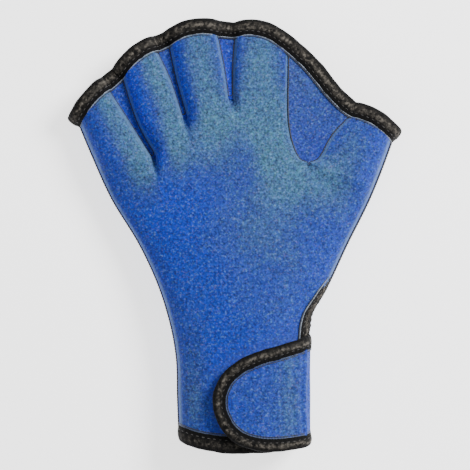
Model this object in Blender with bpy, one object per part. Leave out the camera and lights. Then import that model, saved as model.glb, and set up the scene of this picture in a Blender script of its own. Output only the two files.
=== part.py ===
"""A fingerless webbed swim glove of knit-faced neoprene, lying on its back panel with the palm side up.

X runs from the little finger to the thumb, Y from the cuff to the fingertips and Z up from the surface.
The palm and back panels meet at side seams at mid height. The webs are sewn in between them, higher up and
nearer to the palm side, and rolled bindings close every cut edge. Tables hold shares of the named sizes:
across counts glove widths from the middle line, and along counts glove lengths from the cuff.
"""
import math

import bmesh
import bpy
import numpy as np

# Driving sizes in metres
GLOVE_LENGTH = 0.230
GLOVE_WIDTH = 0.177
WRIST_HEIGHT = 0.030
PALM_HEIGHT = 0.026
TIP_HEIGHT = 0.0170
WALL = 0.0025
WEB_WALL = 0.0020
CLEARANCE = 0.0003
BINDING_CLEARANCE = 0.0006

FINGER_BINDING_WIDTH = 0.0070
CUFF_BINDING_WIDTH = 0.0078
TAB_BINDING_WIDTH = 0.0056
SLIT_BINDING_WIDTH = 0.0045
BINDING_PROUD = 0.0010
CUFF_RISE = 0.0050

TAB_REACH = 0.0450
TAB_HEIGHT = 0.0500
TAB_MIDDLE = 0.0320
HOOK_PATCH_WIDTH = 0.0240
HOOK_PATCH_HEIGHT = 0.0220
HOOK_PATCH_WALL = 0.0018
HOOK_PATCH_MARGIN = 0.0090
SLIT_TOP = 0.0780
SLIT_SETBACK = 0.0050
SEAM_THREAD = 0.0008

VALLEY_FADE = 0.0140
SEAM_SHARE = 0.45
CROWN_EXPONENT = 2.2
BASE_EXPONENT = 3.5
BASE_PRESS = 1.12

# Cells across each finger and narrow web, and along the hand and the fingers
FINGER_CELLS = 5
HAND_CELLS = 15
TIP_CELLS = 6

# Side seams: along, little finger's side across, thumb's side across
SIDES = np.array([
    (0.000, -0.163, 0.222),
    (0.120, -0.169, 0.223),
    (0.217, -0.173, 0.223),
    (0.270, -0.184, 0.226),
    (0.322, -0.201, 0.236),
    (0.374, -0.223, 0.272),
    (0.478, -0.285, 0.336),
    (0.583, -0.368, 0.404),
    (0.687, -0.430, 0.458),
    (0.760, -0.470, 0.491),
])

# Total height stations: along, share of the way from wrist to palm, share of the way from palm to tip
HEIGHTS = np.array([
    (0.00, 0.0, 0.0),
    (0.25, 0.1, 0.0),
    (0.50, 1.0, 0.0),
    (0.75, 1.0, 0.55),
    (1.00, 1.0, 1.0),
])

# Finger ends: name, left corner across, along, right corner across, along, bulge along, lean of the crown.
# The outermost two corners lie on the side seams.
FINGERS = [
    ("little", -0.468, 0.757, -0.380, 0.839, 0.004, 0.25),
    ("ring", -0.339, 0.865, -0.236, 0.925, 0.011, 0.25),
    ("middle", -0.199, 0.936, -0.051, 0.964, 0.013, 0.15),
    ("index", 0.000, 0.960, 0.160, 0.915, 0.022, 0.00),
    ("thumb", 0.347, 0.783, 0.476, 0.722, 0.011, 0.00),
]

# Webs: name, height as a share of the glove's, crotch across, along, knee share, left knee across, along,
# right knee across, along
WEBS = [
    ("web_little_ring", 0.64, -0.243, 0.680, 0.50, -0.319, 0.765, -0.293, 0.759),
    ("web_ring_middle", 0.66, -0.150, 0.774, 0.50, -0.192, 0.857, -0.176, 0.859),
    ("web_middle_index", 0.70, -0.012, 0.817, 0.50, -0.029, 0.880, -0.006, 0.883),
    ("web_index_thumb", 0.78, 0.220, 0.670, 0.28, 0.168, 0.725, 0.272, 0.710),
]
NARROW_WEB_BASE = 0.0020
THUMB_WEB_BASE = 0.0090

# Where the row through the crotches meets the two side seams, along
ARCH_AT_LITTLE = 0.652
ARCH_AT_THUMB = 0.604

# Closing tab: share of its reach from the thumb side, upper edge and lower edge in half tab heights
TAB = np.array([
    (0.00, 1.00, -0.90),
    (0.33, 0.79, -0.99),
    (0.64, 0.61, -0.96),
    (0.83, 0.42, -0.82),
    (0.95, 0.18, -0.56),
    (1.00, -0.05, -0.32),
])

# Outline of a rolled binding: share of its width from the cloth's edge, share of its thickness
BINDING_OUTLINE = [
    (0.00, -0.42), (0.00, 0.42), (0.30, 0.50), (0.68, 0.46), (0.92, 0.27),
    (1.00, 0.00), (0.92, -0.27), (0.68, -0.46), (0.30, -0.50),
]

# Colour and roughness of each kind of cloth
MATERIALS = {
    "blue_neoprene": ((0.045, 0.125, 0.390), 0.85),
    "web_neoprene": ((0.040, 0.100, 0.340), 0.85),
    "black_binding": ((0.020, 0.020, 0.022), 0.65),
    "seam_thread": ((0.015, 0.018, 0.035), 0.80),
    "hook_fastener": ((0.015, 0.015, 0.016), 0.75),
}


def through(stations, values, at):
    """A smooth curve through the values at their stations, straight beyond both ends."""
    stations = np.asarray(stations, float)
    values = np.asarray(values, float)
    slopes = np.gradient(values, stations)
    inside = np.clip(at, stations[0], stations[-1])
    i = np.clip(np.searchsorted(stations, inside, side="right") - 1, 0, len(stations) - 2)
    step = stations[i + 1] - stations[i]
    t = (inside - stations[i]) / step
    rise = values[i + 1] - values[i]
    bend = slopes[i] * step * t * (1 - t) ** 2 - slopes[i + 1] * step * t**2 * (1 - t)
    smooth = values[i] + rise * t**2 * (3 - 2 * t) + bend
    below = np.minimum(at - stations[0], 0) * slopes[0]
    above = np.maximum(at - stations[-1], 0) * slopes[-1]
    return smooth + below + above


def ease(t):
    """A soft step from 0 to 1."""
    t = np.clip(t, 0, 1)
    return t * t * (3 - 2 * t)


def dome(share, exponent):
    """The height of a rounded section at a share of its half width, from 0 at the edge to 1."""
    return (1 - min(abs(share), 1.0) ** exponent) ** (1 / exponent)


def side_x(y, column):
    """The place across of a side seam, at y from the cuff: column 1 little finger, 2 thumb."""
    return through(SIDES[:, 0], SIDES[:, column], y / GLOVE_LENGTH) * GLOVE_WIDTH


def middle_x(y):
    return (side_x(y, 1) + side_x(y, 2)) / 2


def half_width(y):
    return (side_x(y, 2) - side_x(y, 1)) / 2


def total_height(y):
    along = y / GLOVE_LENGTH
    to_palm = through(HEIGHTS[:, 0], HEIGHTS[:, 1], along)
    to_tip = through(HEIGHTS[:, 0], HEIGHTS[:, 2], along)
    height = WRIST_HEIGHT + (PALM_HEIGHT - WRIST_HEIGHT) * to_palm
    return height + (TIP_HEIGHT - PALM_HEIGHT) * to_tip


def seam_z(y):
    return SEAM_SHARE * total_height(y)


def rest_z(y):
    """How high the back panel lies: on the surface, and lifted by the bindings at both ends."""
    from_cuff = (y - CUFF_BINDING_WIDTH) / (2 * CUFF_BINDING_WIDTH)
    from_tips = (0.80 * GLOVE_LENGTH - y) / (0.15 * GLOVE_LENGTH)
    return BINDING_PROUD * (1 - ease(min(from_cuff, from_tips)))


def palm_z(rim, y, shape):
    return rim + (total_height(y) - rim) * shape


def back_z(rim, y, shape):
    return max(rest_z(y), rim * (1 - BASE_PRESS * shape))


def setback(y):
    """How far the palm panel's edge stands back from the thumb side, at the slit and under the tab."""
    tab_top = TAB_MIDDLE + TAB_HEIGHT / 2
    return SLIT_SETBACK * ease((SLIT_TOP - y) / (SLIT_TOP - tab_top))


def plan(across, along):
    return np.array([across * GLOVE_WIDTH, along * GLOVE_LENGTH])


def web_base(web):
    return THUMB_WEB_BASE if web == len(WEBS) - 1 else NARROW_WEB_BASE


def web_z(web, y):
    return WEBS[web][1] * total_height(y)


def web_line(web, side, t):
    """The seam at a web's left (side 0) or right (side 1) edge, from crotch at 0 to the open edge at 1."""
    name, height, cx, cy, knee, left_x, left_y, right_x, right_y = WEBS[web]
    tips = [plan(*FINGERS[web][3:5]), plan(*FINGERS[web + 1][1:3])]
    knees = [plan(left_x, left_y), plan(right_x, right_y)]
    axis = (tips[0] + tips[1]) / 2 - plan(cx, cy)
    axis /= np.linalg.norm(axis)
    square = np.array([axis[1], -axis[0]]) * web_base(web) / 2
    crotch = plan(cx, cy) + (square if side else -square)
    points = np.array([crotch, knees[side], tips[side]])
    return np.array([through((0, knee, 1), points[:, k], t) for k in (0, 1)])


def side_line(column, t):
    """A side seam beside the little finger (column 1) or the thumb (column 2)."""
    start, end = (ARCH_AT_LITTLE, FINGERS[0][2]) if column == 1 else (ARCH_AT_THUMB, FINGERS[-1][4])
    y = (start + (end - start) * t) * GLOVE_LENGTH
    return np.array([side_x(y, column), y])


def finger_plan(finger, w, t):
    """A point on a finger seen from above: w from -1 to 1 across it, t from its root to its end."""
    left = web_line(finger - 1, 1, t) if finger > 0 else side_line(1, t)
    right = web_line(finger, 0, t) if finger < len(FINGERS) - 1 else side_line(2, t)
    point = left + (right - left) * (w + 1) / 2
    point[1] += FINGERS[finger][5] * GLOVE_LENGTH * (1 - w * w) * t**2
    return point


def finger_shape(finger, w, exponent):
    """The finger's rounded section, its crown leaning to the thumb side."""
    lean = FINGERS[finger][6]
    return dome(w - lean * (1 - w * w), exponent)


def rim_z(finger, w, y):
    """The height at which a finger's edges are sewn, blended across from its left to its right edge."""
    left = web_z(finger - 1, y) if finger > 0 else seam_z(y)
    right = web_z(finger, y) if finger < len(FINGERS) - 1 else seam_z(y)
    return left + (right - left) * (w + 1) / 2


def columns():
    """Every line along the glove: which finger it belongs to, and its place across that finger."""
    ticks = [-math.cos(math.pi * k / FINGER_CELLS) for k in range(FINGER_CELLS + 1)]
    return [(finger, w) for finger in range(len(FINGERS)) for w in ticks]


def cuff_share(column, count):
    """Place across the cuff from -1 to 1, with the lines closer together at the sides."""
    widest = math.radians(72)
    return math.sin(widest * (2 * column / (count - 1) - 1)) / math.sin(widest)


def cuff_y(share):
    return CUFF_BINDING_WIDTH + CUFF_RISE * share * share


def panel_grid(palm):
    """The outer face of one panel, row by row from the cuff to the finger ends."""
    exponent = CROWN_EXPONENT if palm else BASE_EXPONENT
    height = palm_z if palm else back_z
    lines = columns()
    rows = []
    for i in range(HAND_CELLS):
        s = 1 - (1 - i / HAND_CELLS) ** 1.5
        row = []
        for c, (finger, w) in enumerate(lines):
            root = finger_plan(finger, w, 0)
            at_cuff = cuff_share(c, len(lines))
            at_root = (root[0] - middle_x(root[1])) / half_width(root[1])
            share = at_cuff + (at_root - at_cuff) * s
            y = cuff_y(at_cuff) + (root[1] - cuff_y(at_cuff)) * s
            if palm:
                edge = 1 - setback(y) / half_width(y)
                share = -1 + (share + 1) * (edge + 1) / 2
            valley = max(1 - (root[1] - y) / VALLEY_FADE, 0) ** 2
            on_hand = height(seam_z(y), y, dome(share, exponent))
            on_finger = height(rim_z(finger, w, y), y, finger_shape(finger, w, exponent))
            row.append((middle_x(y) + half_width(y) * share, y, on_hand + (on_finger - on_hand) * valley))
        rows.append(row)
    for i in range(TIP_CELLS + 1):
        t = i / TIP_CELLS
        row = []
        for finger, w in lines:
            x, y = finger_plan(finger, w, t)
            row.append((x, y, height(rim_z(finger, w, y), y, finger_shape(finger, w, exponent))))
        rows.append(row)
    grid = np.array(rows)
    lift_rims(grid, palm)
    return grid


def is_seam(palm, row, column, count, y):
    """Whether a point of a panel's edge is sewn to the other panel or to a web."""
    if column in (0, count - 1):
        return not (palm and column == count - 1 and setback(y) > CLEARANCE)
    return row >= HAND_CELLS and (column % (FINGER_CELLS + 1)) in (0, FINGER_CELLS)


def lift_rims(grid, palm):
    """Hold the sewn edges clear of the seam's height, wider where the side seam's thread lies between."""
    lines = columns()
    count = len(lines)
    for row in range(grid.shape[0]):
        for column in range(count):
            y = grid[row, column, 1]
            if is_seam(palm, row, column, count, y):
                at_side = column in (0, count - 1)
                gap = SEAM_THREAD / 2 + CLEARANCE if at_side else CLEARANCE / 2
                grid[row, column, 2] = rim_z(*lines[column], y) + (gap if palm else -gap)


def panel_cells(count):
    """All cells but those of the webs, which begin at the row through the crotches."""
    cells = np.ones((HAND_CELLS + TIP_CELLS, count - 1), bool)
    for column in range(FINGER_CELLS, count - 1, FINGER_CELLS + 1):
        cells[HAND_CELLS:, column] = False
    return cells


def quads(cells):
    for row, column in zip(*np.nonzero(cells)):
        yield (row, column), (row, column + 1), (row + 1, column + 1), (row + 1, column)


def upward_normals(grid, cells, sewn):
    """Averaged face normals, laid level on the sewn edges so that these edges face each other squarely."""
    normals = np.zeros_like(grid)
    for a, b, c, d in quads(cells):
        face = np.cross(grid[c] - grid[a], grid[d] - grid[b])
        for corner in (a, b, c, d):
            normals[corner] += face
    normals[sewn, 2] = 0
    lengths = np.linalg.norm(normals, axis=2, keepdims=True)
    return normals / np.maximum(lengths, 1e-12)


def make_object(name, points, faces, material):
    """A mesh object in the glove's collection, its faces turned outward."""
    mesh = bpy.data.meshes.new(name)
    mesh.from_pydata([tuple(p) for p in points], [], faces)
    work = bmesh.new()
    work.from_mesh(mesh)
    bmesh.ops.recalc_face_normals(work, faces=work.faces)
    work.to_mesh(mesh)
    work.free()
    mesh.shade_smooth()
    mesh.set_sharp_from_angle(angle=math.radians(50))
    mesh.materials.append(material)
    piece = bpy.data.objects.new(name, mesh)
    collection.objects.link(piece)
    piece.parent = root
    return piece


def thick_sheet(name, outer, inner, cells, material):
    """A closed wall between an outer and an inner face with the same cells, with rims round its edges."""
    index, points, faces = {}, [], []
    for quad in quads(cells):
        for corner in quad:
            if corner not in index:
                index[corner] = len(points)
                points.extend([outer[corner], inner[corner]])
    edges = {}
    for quad in quads(cells):
        ring = [index[corner] for corner in quad]
        faces.append(tuple(ring))
        faces.append(tuple(k + 1 for k in reversed(ring)))
        for a, b in zip(ring, ring[1:] + ring[:1]):
            edges[a, b] = True
    for a, b in edges:
        if (b, a) not in edges:
            faces.append((b, a, a + 1, b + 1))
    return make_object(name, points, faces, material)


def loft(name, sections, material):
    """A solid through a row of closed outlines with the same number of points, capped at both ends."""
    size = len(sections[0])
    points = [point for section in sections for point in section]
    faces = [tuple(range(size)), tuple(range(len(points) - size, len(points)))]
    for k in range(len(sections) - 1):
        for i in range(size):
            j = (i + 1) % size
            faces.append((k * size + i, k * size + j, (k + 1) * size + j, (k + 1) * size + i))
    return make_object(name, points, faces, material)


def binding(name, bases, reaches, normals, thickness, material, outline=BINDING_OUTLINE):
    """A rolled edge that butts on a cloth's rim: reaches carry its width, normals its thickness."""
    sections = []
    for base, reach, normal in zip(bases, reaches, normals):
        start = base + reach / np.linalg.norm(reach) * BINDING_CLEARANCE
        sections.append([start + reach * out + normal * thickness * up for out, up in outline])
    return loft(name, sections, material)


def unit(vectors):
    return vectors / np.linalg.norm(vectors, axis=-1, keepdims=True)


def make_panel(palm, material):
    """One panel's wall. Returns its outer face and outward normals, for the slit's bindings."""
    grid = panel_grid(palm)
    count = grid.shape[1]
    cells = panel_cells(count)
    sewn = np.zeros(grid.shape[:2], bool)
    for row, column in np.ndindex(*sewn.shape):
        sewn[row, column] = is_seam(palm, row, column, count, grid[row, column, 1])
    normals = upward_normals(grid, cells, sewn) * (1 if palm else -1)
    inner = grid - WALL * normals
    thick_sheet("palm_panel" if palm else "back_panel", grid, inner, cells, material)
    return grid, normals


def make_web(web, material):
    """A level web between two fingers, clear of their walls."""
    cells = 6 if web_base(web) == THUMB_WEB_BASE else 2
    start = 2 * CLEARANCE / (0.2 * GLOVE_LENGTH)
    top, bottom = [], []
    for i in range(TIP_CELLS + 1):
        t = start + (1 - start) * i / TIP_CELLS
        left, right = web_line(web, 0, t), web_line(web, 1, t)
        inset = unit(right - left) * 1.5 * CLEARANCE
        row = [left + inset + (right - left - 2 * inset) * k / cells for k in range(cells + 1)]
        top.append([(x, y, web_z(web, y) + WEB_WALL / 2) for x, y in row])
        bottom.append([(x, y, web_z(web, y) - WEB_WALL / 2) for x, y in row])
    everywhere = np.ones((TIP_CELLS, cells), bool)
    thick_sheet(WEBS[web][0], np.array(top), np.array(bottom), everywhere, material)


def binding_low(palm, web, y, thickness):
    """The height of a finger binding over a web, or over a side seam where web is None."""
    if web is None:
        clear = thickness / 2 + CLEARANCE / 2
        return seam_z(y) + (clear if palm else -clear)
    return web_z(web, y) - (0 if palm else thickness + CLEARANCE)


def finger_edge(palm, thickness):
    """The line of the open edge, through the middle of the cloth: round each finger end, over each web."""
    points = []
    steps = FINGER_CELLS + 3
    for finger in range(len(FINGERS)):
        webs = (finger - 1 if finger > 0 else None, finger if finger < len(WEBS) else None)
        for k in range(steps + 1):
            w = -math.cos(math.pi * k / steps)
            x, y = finger_plan(finger, w, 1)
            crown = total_height(y) - WALL / 2 if palm else thickness / 2
            left, right = (binding_low(palm, web, y, thickness) for web in webs)
            low = left + (right - left) * (w + 1) / 2
            points.append((x, y, low + (crown - low) * (1 - w * w) ** 0.75))
        if finger < len(WEBS):
            left, right = web_line(finger, 0, 1), web_line(finger, 1, 1)
            between = 4 if web_base(finger) == THUMB_WEB_BASE else 1
            for k in range(1, between + 1):
                x, y = left + (right - left) * k / (between + 1)
                points.append((x, y, binding_low(palm, finger, y, thickness)))
    return np.array(points)


def smoothed(rows, rounds):
    """Each row moved towards the mean of its neighbours, the ends kept."""
    rows = np.array(rows, float)
    for _ in range(rounds):
        rows[1:-1] = (rows[:-2] + 2 * rows[1:-1] + rows[2:]) / 4
    return rows


def make_finger_binding(palm, material):
    """The bound edge of one panel, from the little finger's side seam to the thumb's."""
    thickness = WALL + 2 * BINDING_PROUD
    bases = finger_edge(palm, thickness)
    along = unit(np.gradient(bases, axis=0))
    flat = smoothed(along * (1, 1, 0), 2)
    outward = unit(np.stack([-flat[:, 1], flat[:, 0], 0 * flat[:, 0]], axis=1))
    normals = unit(np.cross(smoothed(along, 1), outward)) * (1 if palm else -1)
    name = "finger_binding_palm" if palm else "finger_binding_back"
    binding(name, bases, outward * FINGER_BINDING_WIDTH, normals, thickness, material)


def contour(y, angle, palm=True):
    """A point and outward normal on the wrist's section: angle 0 at the thumb side, pi at the other."""
    exponent = CROWN_EXPONENT if palm else BASE_EXPONENT
    depth = total_height(y) - seam_z(y) if palm else seam_z(y)
    c, s = math.cos(angle), math.sin(angle)
    share = math.copysign(abs(c) ** (2 / exponent), c)
    rise = max(s, 0.0) ** (2 / exponent)
    x = middle_x(y) + half_width(y) * share
    nx = math.copysign(abs(share) ** (exponent - 1) / half_width(y), share)
    nz = rise ** (exponent - 1) / depth
    length = math.hypot(nx, nz)
    if palm:
        return np.array([x, y, seam_z(y) + depth * rise]), np.array([nx, 0, nz]) / length
    return np.array([x, y, back_z(seam_z(y), y, rise)]), np.array([nx, 0, -nz]) / length


def angle_at(share, exponent):
    return math.acos(math.copysign(abs(share) ** (exponent / 2), share))


def make_cuff_binding(material):
    """From the palm panel's edge under the tab, round the little finger's side, to the thumb side."""
    first = angle_at(1 - SLIT_SETBACK / half_width(0), CROWN_EXPONENT)
    turns = [(True, first + (math.pi - first) * k / 18) for k in range(19)]
    turns += [(False, math.pi * (1 - k / 18)) for k in range(1, 19)]
    bases, normals = [], []
    for palm, angle in turns:
        share = math.cos(angle)
        point, normal = contour(cuff_y(share), angle, palm)
        if not palm and angle == 0:
            point[2] = seam_z(point[1]) - SEAM_THREAD / 2 - CLEARANCE
        bases.append(point - normal * WALL / 2)
        normals.append(normal)
    bases, normals = np.array(bases), unit(smoothed(normals, 1))
    reaches = np.tile((0.0, -CUFF_BINDING_WIDTH, 0.0), (len(bases), 1))
    binding("cuff_binding", bases, reaches, normals, WALL + 2 * BINDING_PROUD, material)


def tab_point(y, angle, lift):
    """A point at a height over the wrist's section. The tab leaves the back panel's rim at lift 0."""
    point, normal = contour(y, angle)
    return point + normal * lift * ease(angle / TAB_LIFTED_BY), normal


def tab_rows():
    """For each column of the tab: its angle, and its lower and upper edge along the glove."""
    end = middle_x(TAB_MIDDLE) + half_width(TAB_MIDDLE) - TAB_REACH
    last = angle_at((end - middle_x(TAB_MIDDLE)) / half_width(TAB_MIDDLE), CROWN_EXPONENT)
    rows = []
    for k in range(17):
        angle = last * k / 16
        x = contour(TAB_MIDDLE, angle)[0][0]
        reach = (side_x(TAB_MIDDLE, 2) - x) / TAB_REACH
        upper = TAB_MIDDLE + through(TAB[:, 0], TAB[:, 1], reach) * TAB_HEIGHT / 2
        lower = TAB_MIDDLE + through(TAB[:, 0], TAB[:, 2], reach) * TAB_HEIGHT / 2
        rows.append((angle, lower, upper))
    return rows


TAB_LIFT = 2 * CLEARANCE + HOOK_PATCH_WALL + WALL
TAB_LIFTED_BY = math.radians(25)


def make_tab(material):
    outer, inner = [], []
    for angle, lower, upper in tab_rows():
        ys = np.linspace(lower, upper, 9)
        points = [tab_point(y, angle, TAB_LIFT) for y in ys]
        if angle == 0:
            start = SEAM_THREAD / 2
            points = [(point - (0, 0, start), normal) for point, normal in points]
        outer.append([point for point, normal in points])
        inner.append([point - normal * WALL for point, normal in points])
    everywhere = np.ones((len(outer) - 1, 8), bool)
    thick_sheet("wrist_tab", np.array(outer), np.array(inner), everywhere, material)


def make_tab_binding(material):
    """Round the tab from the thumb side: up its lower edge, round the end and back along the upper edge."""
    rows = tab_rows()
    path = [(angle, lower) for angle, lower, upper in rows]
    last, lower, upper = rows[-1]
    path += [(last, lower + (upper - lower) * k / 4) for k in (1, 2, 3)]
    path += [(angle, upper) for angle, lower, upper in reversed(rows)]
    bases, normals = [], []
    for angle, y in path:
        point, normal = tab_point(y, angle, TAB_LIFT)
        bases.append(point - normal * WALL / 2)
        normals.append(normal)
    bases, normals = np.array(bases), np.array(normals)
    along = unit(smoothed(unit(np.gradient(bases, axis=0)), 2))
    outward = unit(np.cross(normals, along))
    outward[0], outward[-1] = (0, -1, 0), (0, 1, 0)
    binding("tab_binding", bases, outward * TAB_BINDING_WIDTH, normals, WALL + 2 * BINDING_PROUD, material)


def make_hook_patch(material):
    """The fastener between the palm panel and the tab's end."""
    outer, inner = [], []
    right = side_x(TAB_MIDDLE, 2) - TAB_REACH + HOOK_PATCH_MARGIN + HOOK_PATCH_WIDTH
    for x in np.linspace(right, right - HOOK_PATCH_WIDTH, 7):
        angle = angle_at((x - middle_x(TAB_MIDDLE)) / half_width(TAB_MIDDLE), CROWN_EXPONENT)
        points = [contour(TAB_MIDDLE + HOOK_PATCH_HEIGHT * q, angle) for q in (-0.5, -0.25, 0, 0.25, 0.5)]
        outer.append([point + normal * (CLEARANCE + HOOK_PATCH_WALL) for point, normal in points])
        inner.append([point + normal * CLEARANCE for point, normal in points])
    everywhere = np.ones((len(outer) - 1, 4), bool)
    thick_sheet("hook_patch", np.array(outer), np.array(inner), everywhere, material)


def make_slit_bindings(grid, normals, material):
    """The two bound edges of the slit, which narrow to nothing where they meet at its top."""
    tab_top = TAB_MIDDLE + TAB_HEIGHT / 2 + TAB_BINDING_WIDTH + 3 * CLEARANCE
    open_rows = [row for row in range(HAND_CELLS) if setback(grid[row, -1, 1]) > CLEARANCE]
    knots = np.arange(open_rows[0], open_rows[-1] + 0.01, 1 / 3)
    palm, back = [], []
    for knot in knots:
        low, part = int(knot), knot - int(knot)
        high = min(low + 1, open_rows[-1])
        point = grid[low, -1] * (1 - part) + grid[high, -1] * part
        normal = unit(normals[low, -1] * (1 - part) + normals[high, -1] * part)
        y = point[1]
        width = min(SLIT_BINDING_WIDTH, 0.34 * (point[2] - seam_z(y)))
        reach = unit(np.array([normal[2], 0, -normal[0]])) * width
        palm.append((point - normal * WALL / 2, reach, normal))
        if y > tab_top:
            rim = np.array([side_x(y, 2) - WALL / 2, y, seam_z(y) - SEAM_THREAD / 2 - CLEARANCE])
            back.append((rim, np.array([0, 0, width]), np.array([1.0, 0, 0])))
    for name, rows in (("slit_binding_palm", palm), ("slit_binding_back", back)):
        bases, reaches, ups = (np.array(column) for column in zip(*rows))
        binding(name, bases, reaches, ups, WALL + BINDING_PROUD, material)


def make_side_seam(column, low, high, name, material):
    """The thread that fills the joint of the two panels along a side, a little proud of it."""
    bases, reaches, normals = [], [], []
    outside = -1 if column == 1 else 1
    for y in np.linspace(low, high, 18):
        step = GLOVE_LENGTH * 0.01
        slope = (side_x(y + step, column) - side_x(y - step, column)) / (2 * step)
        outward = unit(np.array([1.0, -slope, 0.0])) * outside
        reach = outward * (WALL + CLEARANCE)
        bases.append(np.array([side_x(y, column), y, seam_z(y)]) - outward * (WALL + CLEARANCE))
        reaches.append(reach)
        normals.append((0, 0, 1))
    square = [(0, -0.5), (0, 0.5), (1, 0.5), (1, -0.5)]
    binding(name, np.array(bases), np.array(reaches), np.array(normals), SEAM_THREAD, material, square)


def centre_on_origin():
    """Move the whole glove so that it stands on the middle of its bounding box."""
    bpy.context.view_layer.update()
    corners = [piece.matrix_world @ vertex.co for piece in collection.objects if piece.type == "MESH"
               for vertex in piece.data.vertices]
    low = [min(corner[k] for corner in corners) for k in range(3)]
    high = [max(corner[k] for corner in corners) for k in range(3)]
    root.location = (-(low[0] + high[0]) / 2, -(low[1] + high[1]) / 2, -low[2])


def make_materials():
    made = {}
    for name, (colour, roughness) in MATERIALS.items():
        material = bpy.data.materials.new(name)
        material.use_nodes = True
        shader = material.node_tree.nodes["Principled BSDF"]
        shader.inputs["Base Color"].default_value = (*colour, 1)
        shader.inputs["Roughness"].default_value = roughness
        shader.inputs["Metallic"].default_value = 0
        material.diffuse_color = (*colour, 1)
        made[name] = material
    return made


for old in list(bpy.data.objects):
    bpy.data.objects.remove(old)
collection = bpy.data.collections.new("webbed_swim_glove")
bpy.context.scene.collection.children.link(collection)
root = bpy.data.objects.new("glove_origin", None)
collection.objects.link(root)

cloth = make_materials()
palm_grid, palm_normals = make_panel(True, cloth["blue_neoprene"])
make_panel(False, cloth["blue_neoprene"])
for number in range(len(WEBS)):
    make_web(number, cloth["web_neoprene"])
make_finger_binding(True, cloth["black_binding"])
make_finger_binding(False, cloth["black_binding"])
make_cuff_binding(cloth["black_binding"])
make_tab(cloth["blue_neoprene"])
make_tab_binding(cloth["black_binding"])
make_hook_patch(cloth["hook_fastener"])
make_slit_bindings(palm_grid, palm_normals, cloth["black_binding"])
seam_foot = CUFF_BINDING_WIDTH + CUFF_RISE
make_side_seam(1, seam_foot, FINGERS[0][2] * GLOVE_LENGTH, "seam_little", cloth["seam_thread"])
make_side_seam(2, SLIT_TOP, FINGERS[-1][4] * GLOVE_LENGTH, "seam_thumb", cloth["seam_thread"])
centre_on_origin()
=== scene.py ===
import math

import bmesh
import bpy
import numpy as np
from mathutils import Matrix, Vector


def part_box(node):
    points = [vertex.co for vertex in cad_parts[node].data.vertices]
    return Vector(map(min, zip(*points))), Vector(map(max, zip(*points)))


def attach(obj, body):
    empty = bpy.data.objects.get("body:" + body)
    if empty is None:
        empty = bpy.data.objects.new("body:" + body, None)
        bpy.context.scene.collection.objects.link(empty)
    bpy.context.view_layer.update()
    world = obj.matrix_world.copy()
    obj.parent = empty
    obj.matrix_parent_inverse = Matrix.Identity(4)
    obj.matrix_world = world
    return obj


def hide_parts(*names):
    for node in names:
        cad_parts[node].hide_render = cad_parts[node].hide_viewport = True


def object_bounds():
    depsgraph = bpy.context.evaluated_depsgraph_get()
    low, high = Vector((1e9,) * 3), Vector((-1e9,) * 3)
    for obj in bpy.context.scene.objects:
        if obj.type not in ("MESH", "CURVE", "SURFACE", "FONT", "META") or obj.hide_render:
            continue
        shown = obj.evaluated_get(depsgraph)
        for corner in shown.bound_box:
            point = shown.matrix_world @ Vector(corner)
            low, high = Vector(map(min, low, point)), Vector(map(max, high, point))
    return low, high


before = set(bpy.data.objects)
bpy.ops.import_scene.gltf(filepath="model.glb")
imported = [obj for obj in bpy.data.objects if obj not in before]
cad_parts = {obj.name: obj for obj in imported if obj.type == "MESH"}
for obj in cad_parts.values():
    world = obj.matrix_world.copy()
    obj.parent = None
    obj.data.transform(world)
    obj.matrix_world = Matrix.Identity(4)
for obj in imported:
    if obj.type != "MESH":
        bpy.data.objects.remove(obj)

cad_low, cad_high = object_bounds()

# Sizes of the glove in metres
LENGTH, WIDTH = 0.230, 0.177
WRIST_HEIGHT, PALM_HEIGHT, TIP_HEIGHT = 0.030, 0.026, 0.017
WALL, WEB_WALL, SEAM_GAP = 0.0025, 0.002, 0.0004
CUFF_RISE = 0.005
TAB_REACH, TAB_HEIGHT, TAB_MIDDLE = 0.045, 0.050, 0.032
TAB_TOP, TAB_LIFT, TAB_LIFTED_BY = TAB_MIDDLE + TAB_HEIGHT / 2, 0.0049, math.radians(38)
SLIT_TOP, SLIT_SETBACK, SLIT_FADE = 0.078, 0.005, 0.016
HOOK_LOW, HOOK_HIGH = 0.0003, 0.002

# The hand's section: the seam's share of the height, roundness of palm and back, the back's flatness, its lift
# towards the tips, and how the lines crowd at the cuff
SEAM_SHARE = 0.45
CROWN_EXPONENT, BASE_EXPONENT, BASE_PRESS = 2.5, 3.5, 1.12
TIPS_LIFT_FROM, TIPS_LIFT_OVER = 0.80, 0.15
CUFF_TURN = math.radians(72)

# Finger flanks: roundness on the palm's left and right and on the back, the back's reach, the face's crown
FLANK_LEFT, FLANK_RIGHT, FLANK_BACK, BACK_REACH, FACE_CROWN = 2.0, 2.4, 2.4, 0.9, 0.025

# How far the valleys run on below the webs, the dip of the index finger's root, the folds' distance from seams
VALLEY_FADE, SHORT_FADE, ROOT_DIP, FOLD_MARGIN = 0.015, 0.007, 0.011, 0.010

# The wide web's round foot: share of the seam, half width, drop, the curve's pulls, its sink, the free edge's wave
ROUND_SHARE, FOOT_SPREAD, FOOT_DROP, FOOT_PULL, END_PULL = 0.20, 0.0004, 0.0008, 0.82, 0.74
FOOT_SINK, WAVE = 0.0008, 0.0012

# Bindings: widths, height over the cloth, wall, lap over the cloth, least width cut, shape of the fold
FINGER_BINDING, CUFF_BINDING, TAB_BINDING, SLIT_BINDING = 0.007, 0.0078, 0.0056, 0.0045
PROUD, TAPE_WALL, TAPE_LAP, LEAST_CUT = 0.001, 0.0008, 0.0012, 0.010
FOLD_CURVE, FOLD_ROOT = 3.2, 2.2
STITCH, STITCH_GAP, THREAD, STITCH_PLACE = 0.0021, 0.0009, 0.00032, 0.0008

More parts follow.
